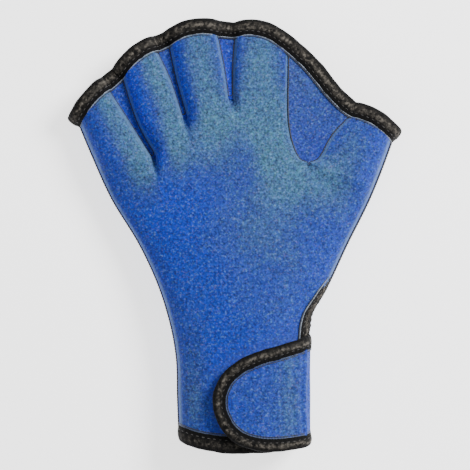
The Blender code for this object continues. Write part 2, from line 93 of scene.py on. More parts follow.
# Sewn lines: radii, length of a stitch, step of the mesh, and a tape's two borders: place and radius
WIDE_YARN, NARROW_YARN, SIDE_YARN, YARN_STITCH, YARN_STEP = 0.00042, 0.00034, 0.0007, 0.0016, 0.0007
BORDERS = (("_border", 0.0002, 0.00032), ("_border_seam", 0.001, 0.00026))

# Cells across each finger, along the hand and the fingers, and how they crowd at the roots
ACROSS, HAND_ROWS, TIP_ROWS, ROW_CROWDING = 30, 110, 46, 1.25
PER_FINGER = ACROSS + 1

# Side seams: along, little finger's side across, thumb's side across
SIDES = np.array([
    (0.000, -0.163, 0.222), (0.120, -0.169, 0.223), (0.217, -0.173, 0.223), (0.270, -0.184, 0.226),
    (0.322, -0.201, 0.236), (0.374, -0.223, 0.272), (0.478, -0.285, 0.336), (0.583, -0.368, 0.404),
    (0.687, -0.430, 0.458), (0.760, -0.470, 0.491),
])

# Height stations: along, share from wrist to palm, share from palm to tip
HEIGHTS = np.array([(0, 0, 0), (0.25, 0.1, 0), (0.5, 1, 0), (0.75, 1, 0.55), (1, 1, 1)])

# Fingers from the little finger to the thumb: left and right corner across and along, bulge, reach of the left and
# the right flank, and the painted highlight on the crown's lit side: its place across, spread and strength
LITTLE, INDEX, THUMB = 0, 3, 4
FINGERS = [
    (-0.468, 0.757, -0.380, 0.837, 0.009, 1.00, 0.35, 0.60, 0.70, 1.00),
    (-0.339, 0.865, -0.236, 0.929, 0.011, 0.75, 0.30, 0.50, 0.60, 0.95),
    (-0.199, 0.941, -0.051, 0.964, 0.014, 0.65, 0.30, 0.15, 0.75, 0.65),
    (0.000, 0.960, 0.162, 0.924, 0.020, 0.30, 0.30, 0.00, 0.90, 0.60),
    (0.347, 0.776, 0.476, 0.722, 0.011, 0.30, 0.90, -0.40, 0.60, 0.30),
]

# Webs from the little finger's to the thumb's: height as a share of the glove's, crotch across and along,
# width at the crotch, the knees' share of the seam, left and right knee across and along
WIDE = 3
WEBS = [
    (0.60, -0.243, 0.680, 0.002, 0.50, -0.319, 0.765, -0.293, 0.759),
    (0.62, -0.150, 0.774, 0.002, 0.50, -0.192, 0.857, -0.176, 0.859),
    (0.76, -0.012, 0.817, 0.002, 0.50, -0.029, 0.880, -0.006, 0.883),
    (0.91, 0.220, 0.670, 0.011, 0.26, 0.168, 0.725, 0.275, 0.708),
]
ROOT_AT_LITTLE, ROOT_AT_THUMB = 0.652, 0.604

# Closing tab: share of its reach from the thumb side, upper edge and lower edge in half tab heights
TAB = np.array([
    (0.00, 1.00, -0.90), (0.33, 0.79, -0.99), (0.64, 0.61, -0.96),
    (0.83, 0.42, -0.82), (0.95, 0.18, -0.56), (1.00, -0.05, -0.32),
])

# Slit's bound edge on the palm side: along, width in metres
SLIT_BAND = np.array([
    (0.051, 0.0048), (0.066, 0.0048), (0.072, 0.0042), (0.078, 0.0033), (0.085, 0.0025), (0.090, 0.0011),
    (0.094, 0.0002),
])

# Soft folds of the palm: across, along, direction in degrees, length and width in metres, height in millimetres
FOLDS = [
    (-0.16, 0.60, 62, 0.05, 0.012, -0.5), (-0.06, 0.68, 80, 0.05, 0.014, -0.4), (0.17, 0.55, 110, 0.05, 0.014, -0.5),
    (0.09, 0.36, 60, 0.06, 0.016, 0.5), (-0.10, 0.36, 105, 0.06, 0.015, -0.5), (-0.02, 0.22, 30, 0.035, 0.01, -0.5),
    (0.19, 0.36, 65, 0.04, 0.008, -0.5),
]

# Painted highlights, lighter places of the jersey where light falls on crowns and bulges: across, along, radius
# across, radius along, strength
PAINTED_HIGHLIGHTS = [
    (-0.09, 0.90, 0.055, 0.08, 0.25), (0.055, 0.88, 0.085, 0.09, 0.40), (-0.12, 0.70, 0.14, 0.075, 0.60),
    (0.00, 0.77, 0.10, 0.055, 0.65), (0.13, 0.70, 0.06, 0.12, 0.60), (0.24, 0.62, 0.13, 0.065, 0.72),
    (0.38, 0.70, 0.09, 0.07, 0.25), (0.15, 0.50, 0.17, 0.13, 0.40), (0.02, 0.50, 0.10, 0.13, 0.25),
    (0.15, 0.33, 0.08, 0.08, 0.15), (-0.12, 0.14, 0.04, 0.14, 0.55),
]


def through(stations, values, at):
    """A smooth curve through the values at their stations, straight beyond both ends."""
    stations, values = np.asarray(stations, float), np.asarray(values, float)
    slopes = np.gradient(values, stations)
    inside = np.clip(at, stations[0], stations[-1])
    i = np.clip(np.searchsorted(stations, inside, side="right") - 1, 0, len(stations) - 2)
    step = stations[i + 1] - stations[i]
    t = (inside - stations[i]) / step
    rise = values[i + 1] - values[i]
    bend = slopes[i] * step * t * (1 - t) ** 2 - slopes[i + 1] * step * t**2 * (1 - t)
    smooth = values[i] + rise * t**2 * (3 - 2 * t) + bend
    return smooth + np.minimum(at - stations[0], 0) * slopes[0] + np.maximum(at - stations[-1], 0) * slopes[-1]


def ease(t):
    """A soft step from 0 to 1."""
    t = np.clip(t, 0, 1)
    return t * t * (3 - 2 * t)


def unit(vectors):
    return vectors / np.maximum(np.linalg.norm(vectors, axis=-1, keepdims=True), 1e-12)


def dome(share, exponent):
    """A rounded section's height: 1 in its middle, 0 at share 1 on either side."""
    return (1 - np.minimum(np.abs(share), 1.0) ** exponent) ** (1 / exponent)


def side_x(y, column):
    """A side seam's place across: column 1 is the little finger's side, 2 the thumb's."""
    return through(SIDES[:, 0], SIDES[:, column], y / LENGTH) * WIDTH


def middle_x(y):
    return (side_x(y, 1) + side_x(y, 2)) / 2


def half_width(y):
    return (side_x(y, 2) - side_x(y, 1)) / 2


def total_height(y):
    along = y / LENGTH
    height = WRIST_HEIGHT + (PALM_HEIGHT - WRIST_HEIGHT) * through(HEIGHTS[:, 0], HEIGHTS[:, 1], along)
    return height + (TIP_HEIGHT - PALM_HEIGHT) * through(HEIGHTS[:, 0], HEIGHTS[:, 2], along)


def seam_z(y):
    return SEAM_SHARE * total_height(y)


def rest_z(y):
    """The back's lowest height: on the floor, but clear of it at both bound ends."""
    from_cuff = (y - CUFF_BINDING) / (2 * CUFF_BINDING)
    from_tips = (TIPS_LIFT_FROM * LENGTH - y) / (TIPS_LIFT_OVER * LENGTH)
    return PROUD * (1 - ease(np.minimum(from_cuff, from_tips)))


def setback(y):
    """How far the palm's edge stands back at the wrist's slit."""
    return SLIT_SETBACK * ease((SLIT_TOP - y) / (SLIT_TOP - TAB_TOP))


def plan(across, along):
    return np.array([across * WIDTH, along * LENGTH])


def web_z(web, y):
    return WEBS[web][0] * total_height(y)


def web_line(web, side, t):
    """The seam at a web's left (0) or right (1) edge. The wide web's two meet in a round foot."""
    if web != WIDE:
        return web_edge(web, side, t)
    t = np.asarray(t, float)
    end, past = web_edge(web, side, ROUND_SHARE), web_edge(web, side, ROUND_SHARE + 0.02)
    foot = plan(WEBS[web][1], WEBS[web][2]) + (FOOT_SPREAD if side else -FOOT_SPREAD, -FOOT_DROP)
    slope = (past - end)[0] / (past - end)[1]
    turn = np.array([end[0] - slope * (end[1] - foot[1]), foot[1]])
    u = np.clip(t / ROUND_SHARE, 0, 1)[..., None]
    first, second = foot + (turn - foot) * FOOT_PULL, end + (turn - end) * END_PULL
    round_part = (1 - u) ** 3 * foot + 3 * u * (1 - u) ** 2 * first + 3 * u * u * (1 - u) * second + u**3 * end
    return np.where((t < ROUND_SHARE)[..., None], round_part, web_edge(web, side, t))


def web_edge(web, side, t):
    """A web's edge through its crotch, its knee and the finger's corner."""
    cx, cy, base, knee, left_x, left_y, right_x, right_y = WEBS[web][1:]
    tips = [plan(*FINGERS[web][2:4]), plan(*FINGERS[web + 1][0:2])]
    knees = [plan(left_x, left_y), plan(right_x, right_y)]
    axis = unit((tips[0] + tips[1]) / 2 - plan(cx, cy))
    square = np.array([axis[1], -axis[0]]) * base / 2
    points = np.array([plan(cx, cy) + (square if side else -square), knees[side], tips[side]])
    return np.stack([through((0, knee, 1), points[:, k], t) for k in (0, 1)], axis=-1)


def side_line(column, t):
    """The side seam along the little finger (1) or the thumb (2)."""
    start, end = (ROOT_AT_LITTLE, FINGERS[LITTLE][1]) if column == 1 else (ROOT_AT_THUMB, FINGERS[THUMB][3])
    y = (start + (end - start) * t) * LENGTH
    return np.stack([side_x(y, column), y], axis=-1)


def finger_plan(finger, w, t):
    """Points on a finger seen from above: w from -1 to 1 across it, t from its root to its end."""
    w, t = np.broadcast_arrays(np.asarray(w, float), np.asarray(t, float))
    left = web_line(finger - 1, 1, t) if finger > LITTLE else side_line(1, t)
    right = web_line(finger, 0, t) if finger < THUMB else side_line(2, t)
    point = left + (right - left) * ((w + 1) / 2)[..., None]
    point[..., 1] += FINGERS[finger][4] * LENGTH * (1 - w * w) * np.clip(t, 0, 1) ** 2
    if finger == INDEX:
        point[..., 1] -= ROOT_DIP * (1 - w * w) * np.clip(1 - t, 0, 1) ** 3
    return point


def flank(distance, reach, power):
    """A flank's fall beside a seam: 1 on it and 0 beyond the reach."""
    return 1 - (1 - np.clip(1 - distance / reach, 0, 1) ** power) ** (1 / power)


def sewn_z(finger, y):
    """The heights at which a finger's left and right sides are sewn."""
    left = web_z(finger - 1, y) if finger > LITTLE else seam_z(y)
    return left, web_z(finger, y) if finger < THUMB else seam_z(y)


def finger_z(finger, w, y, palm):
    """The height of a finger's face: the full height less what its two flanks fall."""
    top = total_height(y)
    left, right = sewn_z(finger, y)
    reach_left, reach_right = FINGERS[finger][5:7]
    if palm:
        fall_left = (top - left) * flank(1 + w, reach_left, FLANK_LEFT)
        fall_right = (top - right) * flank(1 - w, reach_right, FLANK_RIGHT)
        return top - fall_left - fall_right - FACE_CROWN * top * w * w
    rise_left = left * flank(1 + w, BACK_REACH, FLANK_BACK)
    rise_right = right * flank(1 - w, BACK_REACH, FLANK_BACK)
    return np.maximum(rest_z(y), rise_left + rise_right)


def hand_z(share, y, palm):
    """The height of a face of the hand at a share of its half width."""
    if palm:
        return seam_z(y) + (total_height(y) - seam_z(y)) * dome(share, CROWN_EXPONENT)
    return np.maximum(rest_z(y), seam_z(y) * (1 - BASE_PRESS * dome(share, BASE_EXPONENT)))


# A finger's lines from -1 to 1 across it, a little closer at both seams
TICKS = 0.5 * np.linspace(-1, 1, PER_FINGER) - 0.5 * np.cos(np.pi * np.arange(PER_FINGER) / ACROSS)
COUNT = len(FINGERS) * PER_FINGER


def columns_of(finger):
    return slice(finger * PER_FINGER, (finger + 1) * PER_FINGER)


def valley_fade():
    """How far each line's valley runs on below the webs: short under the wide one."""
    fade = np.full((len(FINGERS), PER_FINGER), VALLEY_FADE)
    fade[INDEX] -= (VALLEY_FADE - SHORT_FADE) * ease((TICKS + 0.2) / 0.8)
    fade[THUMB] -= (VALLEY_FADE - SHORT_FADE) * ease((0.2 - TICKS) / 0.8)
    return fade.ravel()


def valley_at(root_y, y):
    """The valley's share at each point of a row, with a soft end where it is short."""
    fade = valley_fade()
    share = np.maximum(1 - (root_y - y) / fade, 0)
    short = (VALLEY_FADE - fade) / (VALLEY_FADE - SHORT_FADE)
    return share**2 * (1 + 2 * short * (1 - share))


def cuff_y(share):
    """The cuff's edge, which rises towards both sides."""
    return CUFF_BINDING + CUFF_RISE * share * share


def folds(x, y):
    """The soft folds' height over the palm."""
    height = np.zeros_like(x)
    for across, along, turn, length, width, rise in FOLDS:
        c, s = math.cos(math.radians(turn)), math.sin(math.radians(turn))
        dx, dy = x - across * WIDTH, y - along * LENGTH
        on, off = dx * c + dy * s, dy * c - dx * s
        height += rise / 1000 * np.exp(-(on / length) ** 2 * 4 - (off / width) ** 2 * 2)
    return height


def painted_light(x, y):
    """How much painted highlight the jersey gets, from 0 to 1."""
    amount = sum(strength * np.exp(-((x / WIDTH - across) / rx) ** 2 - ((y / LENGTH - along) / ry) ** 2)
                 for across, along, rx, ry, strength in PAINTED_HIGHLIGHTS)
    return np.clip(amount, 0, 1)


def painted_valley_shade(x, y):
    """Painted shade: deeper blue on the flanks beside the webs and just below them, where the valleys lie in shade."""
    amount = np.zeros_like(x)
    below, to_right, to_left = 0.25, 0.0055, 0.0018
    t = np.linspace(-below, 1.05, 80)
    for web, strength in ((0, 1.0), (1, 1.0), (2, 0.25)):
        line = web_edge(web, 1, t)
        near = np.argmin((x[..., None] - line[:, 0]) ** 2 + (y[..., None] - line[:, 1]) ** 2, axis=-1)
        dx, dy = x - line[near, 0], y - line[near, 1]
        reach = np.where(dx > 0, to_right, to_left)
        fade = ease((t[near] + below) / below)
        amount = np.maximum(amount, strength * fade * np.exp(-((dx**2 + dy**2) / reach**2)))
    return amount


def crown_light(grid):
    """Painted highlight on the lit side of each finger's crown, fading into the palm."""
    place, spread, strength = np.repeat(np.array(FINGERS)[:, 7:], PER_FINGER, axis=0).T
    below, into_palm = np.maximum(grid[HAND_ROWS, :, 1] - grid[..., 1], 0), 0.018
    across = (np.tile(TICKS, len(FINGERS)) - place) / spread
    return strength * np.exp(-(across**2) - (below / into_palm) ** 2)


def beside_tab(x, y):
    """Painted shadow: darker, purplish cloth just outside the tab's edge, where the tab casts its shade."""
    reach, spread = np.linspace(0, 1, 40), 0.008
    across = side_x(TAB_MIDDLE, 2) - reach * TAB_REACH
    amount = np.zeros_like(x)
    for along in tab_edges(reach):
        gap = np.min((x[..., None] - across) ** 2 + (y[..., None] - along) ** 2, axis=-1)
        amount = np.maximum(amount, np.exp(-gap / spread**2))
    return amount


def tab_edges(reach):
    """The tab's upper and lower edge at a share of its reach."""
    return [TAB_MIDDLE + through(TAB[:, 0], TAB[:, column], reach) * TAB_HEIGHT / 2 for column in (1, 2)]


def panel_grid(palm):
    """The outer face of one panel, and how far each of its points is from a sewn edge."""
    rows, seams = [], []
    fingers = range(len(FINGERS))
    root = np.vstack([finger_plan(f, TICKS, 0.0) for f in fingers])
    at_root = (root[:, 0] - middle_x(root[:, 1])) / half_width(root[:, 1])
    at_cuff = np.sin(CUFF_TURN * np.linspace(-1, 1, COUNT)) / math.sin(CUFF_TURN)
    for i in range(HAND_ROWS):
        s = 1 - (1 - i / HAND_ROWS) ** ROW_CROWDING
        share = at_cuff + (at_root - at_cuff) * s
        y = cuff_y(at_cuff) + (root[:, 1] - cuff_y(at_cuff)) * s
        if palm:
            edge = 1 - setback(y) / half_width(y)
            share = -1 + (share + 1) * (edge + 1) / 2
        on_finger = np.hstack([finger_z(f, TICKS, y[columns_of(f)], palm) for f in fingers])
        on_hand = hand_z(share, y, palm)
        z = on_hand + (on_finger - on_hand) * valley_at(root[:, 1], y)
        rows.append(np.stack([middle_x(y) + half_width(y) * share, y, z], axis=-1))
        seams.append((1 - np.abs(share)) * half_width(y))
    for i in range(TIP_ROWS + 1):
        parts, gaps = [], []
        for f in fingers:
            point = finger_plan(f, TICKS, i / TIP_ROWS)
            parts.append(np.column_stack([point, finger_z(f, TICKS, point[:, 1], palm)]))
            gaps.append((1 - np.abs(TICKS)) * np.linalg.norm(point[-1] - point[0]) / 2)
        rows.append(np.vstack(parts))
        seams.append(np.hstack(gaps))
    grid, seams = np.array(rows), np.array(seams)
    if palm:
        grid[..., 2] += folds(grid[..., 0], grid[..., 1]) * ease(seams / FOLD_MARGIN)
    return grid, seams


def panel_cells():
    """The cells that are cloth: all but the gaps between the fingers."""
    cells = np.ones((HAND_ROWS + TIP_ROWS, COUNT - 1), bool)
    for column in range(ACROSS, COUNT - 1, PER_FINGER):
        cells[HAND_ROWS:, column] = False
    return cells


# The four corners of every cell of a grid, in order round the cell
CORNERS = [np.s_[:-1, :-1], np.s_[:-1, 1:], np.s_[1:, 1:], np.s_[1:, :-1]]


def grid_normals(grid, cells):
    """The normals of a grid's points from the cells around them."""
    normals = np.zeros_like(grid)
    a, b, c, d = (grid[corner] for corner in CORNERS)
    face = np.cross(c - a, d - b) * cells[..., None]
    for corner in CORNERS:
        normals[corner] += face
    return unit(normals)


def softened(field, rounds):
    """A field of vectors over the grid, each evened with its neighbours."""
    for _ in range(rounds):
        wide = np.pad(field, ((1, 1), (1, 1), (0, 0)), mode="edge")
        field = (wide[:-2, 1:-1] + wide[2:, 1:-1] + wide[1:-1, :-2] + wide[1:-1, 2:] + 4 * field) / 8
    return field


# From the glove's own lines, which start at the cuff's middle, to the CAD solids
back_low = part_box("back_panel")[0]
SHIFT = np.array([back_low[0] - side_x(FINGERS[LITTLE][1] * LENGTH, 1), back_low[1] - CUFF_BINDING, 0.0])


def add_object(name, data):
    made = bpy.data.objects.new(name, data)
    bpy.context.scene.collection.objects.link(made)
    return made


def make_piece(name, points, faces, material, uvs, values=None):
    """A mesh piece in the frame's place, with cloth coordinates in metres and named values."""
    mesh = bpy.data.meshes.new(name)
    points = np.asarray(points, float) + SHIFT
    mesh.from_pydata(points.tolist(), [], [tuple(int(k) for k in face) for face in faces])
    corners = np.zeros(len(mesh.loops), np.int32)
    mesh.loops.foreach_get("vertex_index", corners)
    mesh.uv_layers.new(name="cloth").data.foreach_set("uv", np.asarray(uvs, float)[corners].ravel())
    for key, numbers in (values or {}).items():
        mesh.attributes.new(key, "FLOAT", "POINT").data.foreach_set("value", np.asarray(numbers, float))
    work = bmesh.new()
    work.from_mesh(mesh)
    bmesh.ops.recalc_face_normals(work, faces=work.faces)
    work.to_mesh(mesh)
    work.free()
    mesh.shade_smooth()
    mesh.set_sharp_from_angle(angle=math.radians(60))
    mesh.materials.append(materials[material])
    piece = add_object(name, mesh)
    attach(piece, "root")
    return piece


def longest(lines):
    """The longest of several lines of points, in metres."""
    return float(np.linalg.norm(np.diff(lines, axis=1), axis=2).sum(axis=1).max())


def flat_size(face):
    """The longest line across a grid of points and along it."""
    return longest(face), longest(face.swapaxes(0, 1))


def thick_sheet(name, outer, inner, cells, material, values=None):
    """A closed wall between an outer and an inner face with the same cells."""
    used = np.zeros(outer.shape[:2], bool)
    for corner in CORNERS:
        used[corner] |= cells
    count = int(used.sum())
    index = np.full(used.shape, -1)
    index[used] = np.arange(count)
    points = np.vstack([outer[used], inner[used]])
    ring = np.stack([index[corner][cells] for corner in CORNERS], axis=1)
    faces = [tuple(k) for k in ring] + [tuple(k[::-1] + count) for k in ring]
    edges = {(q[k], q[(k + 1) % 4]) for q in ring.tolist() for k in range(4)}
    for a, b in sorted(edges):
        if (b, a) not in edges:
            faces.append((b, a, a + count, b + count))
    uvs = np.tile(outer[used][:, :2], (2, 1))
    named = {key: np.tile(numbers[used], 2) for key, numbers in (values or {}).items()}
    named["inside"] = np.repeat([0.0, 1.0], count)
    return make_piece(name, points, faces, material, uvs, named)


def tube_faces(n, size):
    """The faces of a tube of n rings of points, closed at both ends."""
    k, i = np.meshgrid(np.arange(n - 1), np.arange(size), indexing="ij")
    j = (i + 1) % size
    faces = np.stack([k * size + i, k * size + j, (k + 1) * size + j, (k + 1) * size + i], axis=-1)
    return [*faces.reshape(-1, 4), range(size)[::-1], range((n - 1) * size, n * size)]


def loft(name, sections, material, uvs, values=None):
    """A solid through closed outlines with the same number of points."""
    sections = np.asarray(sections, float)
    faces = tube_faces(*sections.shape[:2])
    return make_piece(name, sections.reshape(-1, 3), faces, material, np.asarray(uvs).reshape(-1, 2), values)


def wobble(s, seed, scale):
    """A slow irregular wave along a length, between about -1 and 1."""
    waves = enumerate(((1.0, 0.5), (1.73, 0.35), (3.1, 0.25), (5.3, 0.15)))
    return sum(size * np.sin(s / scale * rate * 2 * np.pi + seed * (k + 1) * 1.7) for k, (rate, size) in waves)


def lengths_to(points):
    """The length along a line up to each of its points."""
    return np.hstack([0, np.cumsum(np.linalg.norm(np.diff(points, axis=0), axis=1))])


def resampled(rows, step):
    """Rows of numbers at even steps of the length measured by their first three."""
    rows = np.asarray(rows, float)
    lengths = lengths_to(rows[:, :3])
    count = max(int(round(lengths[-1] / step)), 2)
    at = np.linspace(0, lengths[-1], count + 1)
    return np.stack([np.interp(at, lengths, rows[:, k]) for k in range(rows.shape[1])], axis=1), at


def smoothed(rows, rounds):
    """Rows of numbers evened with their neighbours, the two ends kept."""
    rows = np.array(rows, float)
    for _ in range(rounds):
        rows[1:-1] = (rows[:-2] + 2 * rows[1:-1] + rows[2:]) / 4
    return rows


def tape_section(width, thickness, lap):
    """A folded tape's outline: out over the cloth's edge, round the fold and back, then its inner side."""
    cloth, deep = WALL / 2, width - TAPE_WALL
    q = np.linspace(0, 1, 17)
    out = -lap + (width + lap) * np.sin(q * np.pi / 2) ** 0.9
    share = np.clip(out / width, 0, 1)
    start, body = cloth + 0.0005, thickness / 2 * (1 - share**FOLD_CURVE) ** (1 / FOLD_ROOT)
    up = start + (body - start) * ease((out + lap) / (2.2 * lap))
    up[share >= 1] = 0
    outer = np.stack([out, up], axis=1)
    outer = np.vstack([outer[:-1], outer[::-1] * (1, -1)])
    q = np.linspace(0, 1, 8)
    out = -lap + (deep + lap) * np.sin(q * np.pi / 2)
    share = np.clip(out / deep, 0, 1)
    up = (cloth + 0.00005) + (thickness / 2 - TAPE_WALL - cloth) * ease((out + lap) / (2.2 * lap))
    up = up * (1 - share**FOLD_CURVE) ** (1 / FOLD_ROOT)
    inner = np.stack([out, up], axis=1)
    inner = np.vstack([inner[:-1], inner[::-1] * (1, -1)])
    return outer, inner[::-1]


def puckered(outer, s, seed, lap):
    """A section's outer side at length s: slow swells, a ripple at each stitch, an uneven edge."""
    swell = 0.05 * wobble(s, seed, 0.021) + 0.03 * math.cos(2 * np.pi * s / (STITCH + STITCH_GAP))
    wide, ragged = 0.035 * wobble(s, seed + 3, 0.034), 0.25 * wobble(s, seed + 7, 0.012)
    outer = outer.copy()
    outer[:, 1] *= 1 + swell * ease((outer[:, 0] + lap) / (3 * lap))
    outer[:, 0] *= np.where(outer[:, 0] > 0, 1 + wide, 1 + ragged)
    groove = 0.00022 * np.exp(-((outer[:, 0] - 0.0007) / 0.0006) ** 2)
    outer[:, 1] -= np.sign(outer[:, 1]) * groove
    return outer


def along_tape(value, at):
    """A value at each section: one for all, or several spread over the length."""
    if not np.isscalar(value):
        value = np.interp(at / at[-1], np.linspace(0, 1, len(value)), value)
    return np.broadcast_to(value, at.shape)


def make_tape(name, stands_for, bases, outward, normals, width, thickness, seed, step=0.0012, body=1.0,
              shine=1.0, border="border_yarn"):
    """A folded tape along an edge, with puckers, stitches and a sewn border."""
    rows, at = resampled(np.hstack([bases, outward, normals]), step)
    widths, bodies = along_tape(width, at), along_tape(body, at)
    laps = TAPE_LAP * np.clip(widths / (2.5 * TAPE_LAP), 0.15, 1.0)
    bases, outward, normals = rows[:, :3], unit(rows[:, 3:6]), unit(rows[:, 6:9])
    sections, uvs, crests = [], [], []
    for k, s in enumerate(at):
        outer, inner = tape_section(widths[k], thickness, laps[k])
        section = np.vstack([puckered(outer, s, seed, laps[k]), inner]) * (1, bodies[k])
        # Painted highlight along the middle of the tape's fold, scaled by shine
        crests.append(shine * np.exp(-((section[:, 0] / widths[k] - 0.48) / 0.20) ** 2))
        sections.append(bases[k] + outward[k] * section[:, :1] + normals[k] * section[:, 1:])
        uvs.append(np.stack([np.full(len(section), s), lengths_to(section)], axis=1))
    piece = loft(name, sections, "binding_tape", uvs, {"crest_highlight": np.hstack(crests)})
    trims = [make_stitches(name + "_stitches", at, bases, outward, normals, thickness)]
    for (label, out, radius), yarn in zip(BORDERS, (border, "seam_yarn")):
        line = bases - outward * (laps * (1 + out / TAPE_LAP))[:, None]
        line = line + normals * (WALL / 2 * bodies[:, None] + 0.00012)
        trims.append(make_cord(name + label, line, radius, yarn))
    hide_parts(stands_for)


def make_stitches(name, at, bases, outward, normals, thickness):
    """Two rows of short thread stitches, on the tape's upper and lower side."""
    sides, rings = 6, 5
    turn = 2 * np.pi * np.arange(sides)[:, None] / sides
    shape = np.sin(np.linspace(0.12, np.pi - 0.12, rings))[:, None]
    lift = thickness / 2 * 0.80 + 0.00005 - 0.0002 + 0.00022 * shape
    radius = THREAD * (0.45 + 0.55 * shape)[:, None]
    points, faces, uvs = [], [], []
    for up in (1, -1):
        for start in np.arange(0.002, at[-1] - STITCH - 0.001, STITCH + STITCH_GAP):
            s = np.linspace(start, start + STITCH, rings)
            base, out, normal = (np.stack([np.interp(s, at, table[:, k]) for k in range(3)], axis=1)
                                 for table in (bases, outward, normals))
            across = unit(np.cross(unit(base[-1] - base[0]), normal))
            ring = (across[:, None] * np.cos(turn) + normal[:, None] * np.sin(turn)) * radius
            faces += [[len(points) * rings * sides + k for k in face] for face in tube_faces(rings, sides)]
            points.append((base + out * STITCH_PLACE + up * normal * lift)[:, None] + ring)
            uvs.append([(length, q / sides) for length in s for q in range(sides)])
    return make_piece(name, np.reshape(points, (-1, 3)), faces, "binding_thread", np.reshape(uvs, (-1, 2)))


def make_cord(name, path, radius, material, seed=0):
    """A thin sewn line along a path: overlocked thread, slightly knobbly at every stitch."""
    rows, at = resampled(path, YARN_STEP)
    along = unit(np.gradient(smoothed(rows, 2), axis=0))
    side = unit(np.cross(along, (0, 0, 1)))
    up = unit(np.cross(side, along))
    turn = 2 * np.pi * np.arange(8) / 8
    size = (radius * (1 + 0.18 * np.cos(2 * np.pi * at / YARN_STITCH + seed)))[:, None, None]
    ring = side[:, None] * np.cos(turn)[:, None] + up[:, None] * np.sin(turn)[:, None]
    uvs = np.stack(np.broadcast_arrays(at[:, None], turn / 6.3 * radius * 6), axis=-1)
    return loft(name, rows[:, None] + ring * size, material, uvs)


# Materials
class Shader:
    """One material's nodes. Its methods take sockets or plain values and return a socket."""

    def __init__(self, name):
        self.material = bpy.data.materials.new(name)
        self.material.use_nodes = True
        self.tree = self.material.node_tree
        self.bsdf = self.tree.nodes["Principled BSDF"]
        self.place = self.add("UVMap").outputs["UV"]

    def fill(self, node, inputs):
        for key, value in inputs.items():
            self.link(value, node.inputs[key.replace("_", " ")])
        return node

    def add(self, kind, **inputs):
        return self.fill(self.tree.nodes.new("ShaderNode" + kind), inputs)

    def link(self, source, target):
        if isinstance(source, (int, float)):
            target.default_value = source
        elif isinstance(source, tuple):
            target.default_value = source if target.type == "VECTOR" else (*source, 1)
        else:
            self.tree.links.new(source, target)

    def noise(self, scale, detail=2.0, rough=0.5, vector=None):
        return self.add("TexNoise", Scale=scale, Detail=detail, Roughness=rough,
                        Vector=vector or self.place).outputs["Fac"]

    def cells(self, scale):
        return self.add("TexVoronoi", Scale=scale, Vector=self.place).outputs["Color"]

    def wave(self, rate, direction="X", distort=0.0, detail_scale=1.0):
        node = self.add("TexWave", Scale=rate / 6.28, Distortion=distort, Detail_Scale=detail_scale, Vector=self.place)
        node.bands_direction = direction
        return node.outputs["Fac"]

    def math(self, operation, a, b):
        node = self.add("Math")
        node.operation = operation
        self.link(a, node.inputs[0])
        self.link(b, node.inputs[1])
        return node.outputs[0]

    def ramp(self, factor, low, high, to_low=0.0, to_high=1.0):
        return self.add("MapRange", Value=factor, From_Min=low, From_Max=high, To_Min=to_low,
                        To_Max=to_high).outputs["Result"]

    def mix(self, factor, a, b, blend="MIX"):
        node = self.add("Mix")
        node.data_type = "RGBA"
        node.blend_type = blend
        self.link(factor, node.inputs["Factor"])
        for value, socket in zip((a, b), [s for s in node.inputs if s.type == "RGBA"]):
            self.link(value, socket)
        return [s for s in node.outputs if s.type == "RGBA"][0]

    def value(self, name):
        node = self.add("Attribute")
        node.attribute_name = name
        return node.outputs["Fac"]

    def bump(self, height, distance, strength=1.0, **normal):
        return self.add("Bump", Height=height, Distance=distance, Strength=strength, **normal).outputs["Normal"]

    def finish(self, **inputs):
        self.fill(self.bsdf, inputs)
        return self.material


# Painted shade blue for the valleys, painted shadow tint beside the tab, painted highlight tint along the sewn edges,
# and the lining's colour
PAINTED_SHADE_BLUE, TAB_SHADOW_TINT, EDGE_HIGHLIGHT_TINT, LINING = (0.0003, 0.017, 0.46), (0.036, 0.055, 0.26), (0.075, 0.150, 0.26), (0.012, 0.014, 0.022)
PALE_FLECK, WARM_FLECK, LINT_HIGHLIGHT = (0.10, 0.22, 0.36), (0.14, 0.12, 0.19), (0.20, 0.178, 0.150)


